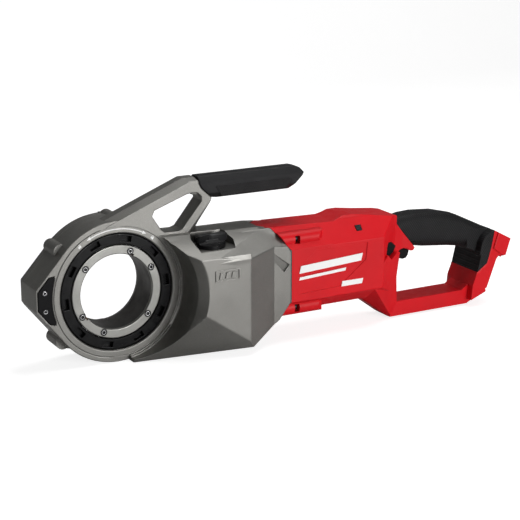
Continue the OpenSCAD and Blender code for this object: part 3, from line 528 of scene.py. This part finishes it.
def prism(made, outline, heights, cap_in, lay):
    """Solid over an outline between two heights, drawn in by cap_in at the second one.

    lay puts an outline's point and a height into x, y, z, all in mm.
    """
    middle = sum((Vector(point) for point in outline), Vector((0, 0))) / len(outline)
    start, end = heights
    shoulder = end - math.copysign(cap_in, end - start)
    rings = []
    for height, inset in ((start, 0.0), (shoulder, 0.0), (end, cap_in)):
        ring = []
        for point in outline:
            away = Vector(point) - middle
            spot = middle + away * (1 - inset / max(away.length, SMALL))
            ring.append(made.verts.new(lay(spot, height) * MM))
        rings.append(ring)
    count = len(outline)
    for low, high in zip(rings, rings[1:]):
        for k in range(count):
            made.faces.new((low[k], low[(k + 1) % count], high[(k + 1) % count], high[k]))
    made.faces.new(list(reversed(rings[0])))
    made.faces.new(rings[-1])
    bmesh.ops.recalc_face_normals(made, faces=made.faces)


def front_prism(made, outline, place, depth, cap_in=0.0):
    """Outline in x, z at y = place, with its thickness towards the front, -y."""
    prism(made, outline, (place, place - depth), cap_in, lambda spot, y: Vector((spot.x, y, spot.y)))


def top_prism(made, outline, low, high, cap_in):
    """Outline in x, y, standing up from z = low."""
    prism(made, outline, (low, high), cap_in, lambda spot, z: Vector((spot.x, spot.y, z)))


def ring_point(radius, degrees):
    return radius * math.cos(math.radians(degrees)), radius * math.sin(math.radians(degrees))


def arc_band(inner, outer, start, end):
    angles = np.linspace(start, end, ROUND_STEPS)
    return [ring_point(outer, a) for a in angles] + [ring_point(inner, a) for a in reversed(angles)]


# --- printed marks --------------------------------------------------------------
INK_DEPTH = 0.12
MARK_RADIUS = 81.0
ROUND_STEPS = 24


def local_outline(points, radius, degrees):
    """Outline drawn upright at a place on a circle: x along the circle and y outwards."""
    cx, cz = ring_point(radius, degrees)
    turn = math.radians(degrees - 90)
    return [(cx + x * math.cos(turn) - z * math.sin(turn), cz + x * math.sin(turn) + z * math.cos(turn))
            for x, z in points]


def add_padlock(made, degrees, lift, face):
    """Padlock whose shackle is lifted when open, drawn upright at a place on the bezel."""
    half_width, bottom, top, shackle, thick = 2.1, -2.2, 0.7, 1.5, 0.7
    body = [(-half_width, bottom), (half_width, bottom), (half_width, top), (-half_width, top)]
    front_prism(made, local_outline(body, MARK_RADIUS, degrees), face, INK_DEPTH)
    turn = np.linspace(0, math.pi, 9)
    arch = [(lift + radius * math.cos(a), top + radius * math.sin(a))
            for radius, angles in ((shackle, turn), (shackle - thick, turn[::-1])) for a in angles]
    front_prism(made, local_outline(arch, MARK_RADIUS, degrees), face, INK_DEPTH)


def add_lock_marks():
    """Double arrow between an open and a closed padlock on the bezel, as plain generic symbols."""
    face = node_box("bezel_ring")[0].y
    made = bmesh.new()
    arc_start, arc_end, half_line, tip, half_tip = 64.0, 115.0, 0.75, 5.5, 2.2
    padlock_gap_closed, padlock_gap_open, open_lift = 11.0, 12.0, 0.9
    band = arc_band(MARK_RADIUS - half_line, MARK_RADIUS + half_line, arc_start, arc_end)
    front_prism(made, band, face, INK_DEPTH)
    for at, way in ((arc_start, 1), (arc_end, -1)):
        head = [(way * tip, 0.0), (0.0, half_tip), (0.0, -half_tip)]
        front_prism(made, local_outline(head, MARK_RADIUS, at), face, INK_DEPTH)
    add_padlock(made, arc_end + padlock_gap_open, open_lift, face)
    add_padlock(made, arc_start - padlock_gap_closed, 0.0, face)
    add_piece("lock_direction_marks", made, "white_ink", "tool_body")


def slanted(x0, x1, z0, z1, lean, climb=0.0):
    """Corners of a leaning bar whose long sides climb along x."""
    return [(x + lean * (z - z0), z + climb * (x - x0)) for x, z in ((x0, z0), (x1, z0), (x1, z1), (x0, z1))]


def add_side_bars():
    """Plain slanted bars where the maker's lettering was."""
    side = node_box("housing_left")[0].y
    start, lean, climb, sunk = 236.0, 0.25, 0.06, 0.02
    large = slanted(start, start + 94.0, 2.0, 12.0, lean, climb)
    middle = slanted(start, start + 70.0, -7.0, -3.0, lean, climb)
    small = slanted(start + 64.0, start + 96.0, -24.0, -17.0, lean)
    made = bmesh.new()
    for bar in (large, middle, small):
        front_prism(made, bar, side + sunk, INK_DEPTH)
    add_piece("side_panel_bars", made, "white_ink", "tool_body")


def add_badge():
    """Raised blank frame with three plain bars on the gear case's side."""
    low, high = node_box("badge_plate")
    rise, line, cap_in, sunk = 0.7, 1.4, 0.3, 0.1
    bar_width, pitch, lean, side_margin, end_margin = 5.5, 8.5, 0.2, 5.0, 3.2
    parts = [(low.x, high.x, high.z - line, high.z, 0.0),
             (low.x, high.x, low.z, low.z + line, 0.0),
             (low.x, low.x + line, low.z + line, high.z - line, 0.0),
             (high.x - line, high.x, low.z + line, high.z - line, 0.0)]
    for k in range(3):
        x = low.x + side_margin + k * pitch
        parts.append((x, x + bar_width, low.z + end_margin, high.z - end_margin, lean))
    made = bmesh.new()
    for part in parts:
        front_prism(made, slanted(*part), low.y + sunk, rise, cap_in)
    add_piece("badge_frame", made, "case_grey", "tool_body")


# --- knob, grip, screws and spring ----------------------------------------------
def add_knob_lever():
    """Bow-tie finger bar on top of the selector knob."""
    low, high = node_box("selector_knob")
    middle = (low + high) / 2
    reach, half_width, half_waist, waist_reach = 20.5, 7.5, 3.2, 5.0
    corner, end_share, sunk, rise, cap_in = 2.0, 0.75, 2.5, 6.0, 1.2
    side = [(reach, -half_width * end_share), (reach - corner, -half_width), (waist_reach, -half_waist),
            (-waist_reach, -half_waist), (corner - reach, -half_width), (-reach, -half_width * end_share)]
    outline = [(middle.x + way * x, middle.y + way * y) for way in (1, -1) for x, y in side]
    made = bmesh.new()
    top_prism(made, outline, high.z - sunk, high.z + rise, cap_in)
    add_piece("selector_finger_bar", made, "black_gloss", "selector")


def add_grip_pads():
    """Hatched pad let into both sides of the carry grip."""
    low, high = node_box("handle_grip")
    top, bottom, chamfer = high.z - 13.5, low.z + 3.0, 3.0
    front_top, front_foot = 22.0, 31.0
    rear_top, rear_corner, rear_low, rear_foot = 22.0, 16.0, 25.0, 27.0
    rise, sunk, edge = 0.5, 0.2, 0.4
    outline = [(low.x + front_top, top), (high.x - rear_top, top), (high.x - rear_corner, top - chamfer),
               (high.x - rear_low, bottom + chamfer / 2), (high.x - rear_foot, bottom),
               (low.x + front_foot, bottom)]
    made = bmesh.new()
    front_prism(made, outline, low.y + sunk, rise, edge)
    front_prism(made, outline, high.y - sunk + rise, rise)
    add_piece("carry_grip_pads", made, "hatched_rubber", "tool_body")


def socket_rim(made, middle, inner, outer, face):
    """Thin raised ring around a screw's socket, facing -y."""
    soft, rise = 0.25, 0.35
    turn = np.linspace(0, 2 * math.pi, ROUND_STEPS, endpoint=False)
    rings = []
    for radius, y in ((outer, face), (outer - soft, face - rise), (inner + soft, face - rise),
                      (inner, face + rise)):
        rings.append([made.verts.new(Vector((middle[0] + radius * math.cos(a), y,
                                             middle[1] + radius * math.sin(a))) * MM) for a in turn])
    for low, high in zip(rings, rings[1:] + rings[:1]):
        for k in range(ROUND_STEPS):
            after = (k + 1) % ROUND_STEPS
            made.faces.new((low[k], low[after], high[after], high[k]))
    bmesh.ops.recalc_face_normals(made, faces=made.faces)


def islands(node):
    """Middle in x and z and front face in y of each separate body of a CAD node, in mm."""
    made = bmesh.new()
    made.from_mesh(NODES[node].data)
    bmesh.ops.remove_doubles(made, verts=made.verts, dist=SAME_POINT)
    seen, found = set(), []
    for start in made.verts:
        if start in seen:
            continue
        group, queue = [], [start]
        seen.add(start)
        while queue:
            v = queue.pop()
            group.append(v.co / MM)
            for edge in v.link_edges:
                other = edge.other_vert(v)
                if other not in seen:
                    seen.add(other)
                    queue.append(other)
        xs, ys, zs = zip(*group)
        found.append(((min(xs) + max(xs)) / 2, (min(zs) + max(zs)) / 2, min(ys)))
    made.free()
    return found


def add_screw_rims():
    """Shiny rim around the socket of each screw in the drive plate and in the nose plate."""
    sunk = 0.1
    for node, body, inner, outer in (("drive_plate_screws", "drum", 1.9, 3.0),
                                     ("nose_plate_screws", "tool_body", 1.7, 2.7)):
        made = bmesh.new()
        for x, z, face in islands(node):
            socket_rim(made, (x, z), inner, outer, face + sunk)
        add_piece(node + "_rims", made, "bearing_steel", body)


def coil_mesh(centre, low, high, coil, wire, turns):
    """Round wire wound about a vertical line, all in mm."""
    around, along = 10, ROUND_STEPS * turns
    made = bmesh.new()
    rings = []
    for k in range(along + 1):
        share = k / along
        angle = 2 * math.pi * turns * share
        out = Vector((math.cos(angle), math.sin(angle), 0))
        spot = Vector((centre.x, centre.y, low + wire + (high - low - 2 * wire) * share))
        turn = np.linspace(0, 2 * math.pi, around, endpoint=False)
        rings.append([made.verts.new((spot + out * (coil + wire * math.cos(a))
                                      + Vector((0, 0, wire * math.sin(a)))) * MM) for a in turn])
    for a, b in zip(rings, rings[1:]):
        for k in range(around):
            made.faces.new((a[k], a[(k + 1) % around], b[(k + 1) % around], b[k]))
    made.faces.new(rings[0])
    made.faces.new(list(reversed(rings[-1])))
    bmesh.ops.recalc_face_normals(made, faces=made.faces)
    return made


def add_trigger_spring():
    """Coil spring of round wire, wound in the place of the CAD spring."""
    low, high = node_box("trigger_spring")
    middle = (low + high) / 2
    wire, turns, spare, smooth_deg = 0.35, 4, 0.3, 60.0
    made = coil_mesh(middle, low.z, high.z, (high.x - low.x) / 2 - wire, wire, turns)
    piece = add_piece("trigger_spring_look", made, SLOT_OF["trigger_spring"], "tool_body", smooth_deg)
    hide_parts("trigger_spring")
    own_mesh(piece)


# --- build ----------------------------------------------------------------------
softened("gearcase_front", 1.2, 20.0, planes=(CASTING_SEAM, (0, FLANGE_X)))
softened("gearcase_rear_cover", 1.2, planes=(CASTING_SEAM,))
softened("housing_left", 1.2, planes=(CLAMSHELL_SEAM,))
softened("housing_right", 1.2, planes=(CLAMSHELL_SEAM,))
softened("nose_plate", 0.9)
softened("bezel_ring", 0.5, 40.0)
softened("lock_ring", 0.5, 40.0)
softened("drive_plate", 0.5, 40.0)
softened("selector_knob", 0.7)
softened("trigger", 1.0)
softened("handle_grip", 1.4, 14.0, smooth_deg=40.0)
softened("rear_grip", 0.8, 30.0, smooth_deg=32.0)
softened("terminal_block", 0.5)
add_lock_marks()
add_side_bars()
add_badge()
add_knob_lever()
add_grip_pads()
add_screw_rims()
add_trigger_spring()
assign(bpy.data.objects["rear_grip_look"], "hatched_rubber")


# --- studio -------------------------------------------------------------------
CAMERA_AZIMUTH = math.radians(28.65)
CAMERA_ELEVATION = math.radians(15.61)
CAMERA_PLACE = Vector((-0.7006, -1.6542, 0.5404))
CAMERA_LENS = 103.85


def add_camera():
    """Camera at the photograph's viewing angle."""
    data = bpy.data.cameras.new("photo_camera")
    data.sensor_width = 36.0
    data.lens = CAMERA_LENS
    camera = bpy.data.objects.new("photo_camera", data)
    bpy.context.scene.collection.objects.link(camera)
    aim = Vector((math.sin(CAMERA_AZIMUTH) * math.cos(CAMERA_ELEVATION),
                  math.cos(CAMERA_AZIMUTH) * math.cos(CAMERA_ELEVATION), -math.sin(CAMERA_ELEVATION)))
    camera.location = CAMERA_PLACE
    camera.rotation_mode = "QUATERNION"
    camera.rotation_quaternion = aim.to_track_quat("-Z", "Y")
    bpy.context.scene.camera = camera


def add_area(name, place, target, size, power):
    """Rectangular studio light that faces a target."""
    data = bpy.data.lights.new(name, "AREA")
    data.shape = "RECTANGLE"
    data.size, data.size_y = size
    data.energy = power
    light = bpy.data.objects.new(name, data)
    bpy.context.scene.collection.objects.link(light)
    light.location = place
    light.rotation_mode = "QUATERNION"
    light.rotation_quaternion = (Vector(target) - Vector(place)).to_track_quat("-Z", "Y")


PAPER_GLOW = 0.8
WORLD_LIGHT = 0.11


def add_floor():
    """Pale paper that curves up behind the object."""
    low = CAD_BOX[0].z
    mesh = bpy.data.meshes.new("floor")
    floor = bpy.data.objects.new("floor", mesh)
    bpy.context.scene.collection.objects.link(floor)
    made = bmesh.new()
    half_width, near, far, rise, bend, first_turn = 6.0, -4.0, 3.0, 5.0, 1.2, 0.1
    profile = [(near, 0.0), (far - bend, 0.0)]
    profile += [(far - bend + bend * math.sin(a), bend - bend * math.cos(a))
                for a in np.linspace(first_turn, math.pi / 2, 12)]
    profile.append((far, rise))
    rows = [[made.verts.new((x, y, low + z)) for x in (-half_width, half_width)] for y, z in profile]
    for a, b in zip(rows, rows[1:]):
        made.faces.new((a[0], a[1], b[1], b[0])).smooth = True
    made.to_mesh(mesh)
    s = Shader("studio_paper")
    s.set(Roughness=0.9)
    s.colour(s.mix(s.noise(3.0), (0.55, 0.55, 0.55), (0.6, 0.6, 0.6)))
    s.bump(s.noise(900.0, 3.0), 0.05 * MM, 0.3)
    s.glow_to_camera(PAPER_GLOW)
    mesh.materials.append(s.material)


def add_world():
    """Even white light from all around."""
    world = bpy.data.worlds.new("studio")
    world.use_nodes = True
    background = world.node_tree.nodes["Background"]
    background.inputs["Color"].default_value = (1, 1, 1, 1)
    background.inputs["Strength"].default_value = WORLD_LIGHT
    bpy.context.scene.world = world


add_camera()
add_world()
add_floor()
CENTRE = (CAD_BOX[0] + CAD_BOX[1]) / 2
add_area("key_front", CENTRE + Vector((0.6, -2.5, 0.15)), CENTRE, size=(1.2, 1.4), power=66)
add_area("top", CENTRE + Vector((0.5, 0.1, 2.0)), CENTRE, size=(1.7, 1.0), power=26)
bpy.context.scene.view_settings.view_transform = "Standard"
